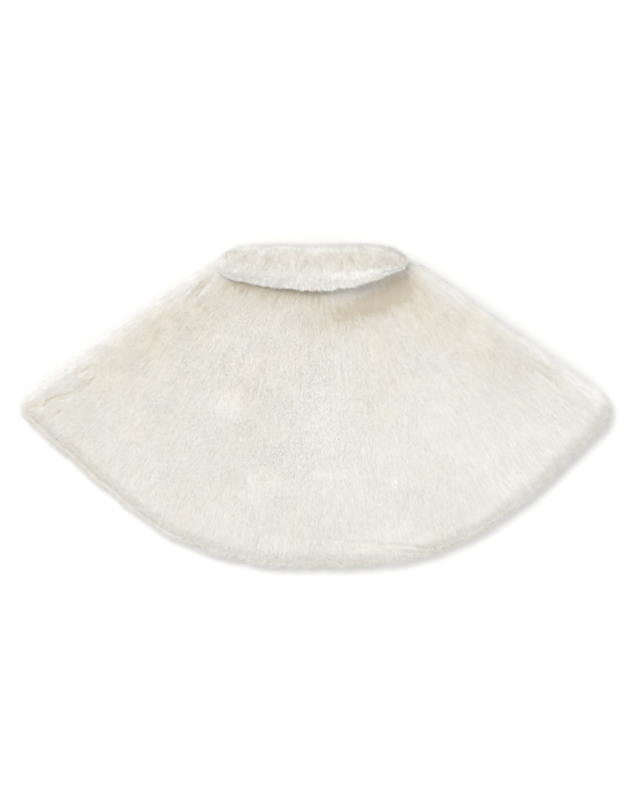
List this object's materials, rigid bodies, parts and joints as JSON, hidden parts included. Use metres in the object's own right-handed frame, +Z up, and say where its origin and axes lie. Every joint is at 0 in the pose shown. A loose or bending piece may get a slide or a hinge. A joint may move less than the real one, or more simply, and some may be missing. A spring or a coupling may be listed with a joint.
{
  "type": "faux fur cape",
  "caption": "Short plush faux fur cape with a turned-down collar, laid flat with its back upwards; worn over the shoulders for warmth and dress.",
  "frame": {"origin": "centre of the box round the laid cape, on the surface that it lies on", "axes": "+Z up from the surface, +Y from the hem to the collar, +X from the wearer's left shoulder to the right one"},
  "size_m": [0.5648, 0.3112, 0.0367],
  "materials": {
    "back_fur": "ivory short plush faux fur, matt with a soft sheen",
    "front_left_fur": "ivory short plush faux fur, matt with a soft sheen",
    "front_right_fur": "ivory short plush faux fur, matt with a soft sheen",
    "collar_fur": "ivory short plush faux fur, a little curlier than the panels"
  },
  "bodies": {
    "root": {"back_panel": "back_fur", "front_panel_left": "front_left_fur", "front_panel_right": "front_right_fur", "collar": "collar_fur"}
  },
  "joints": []
}
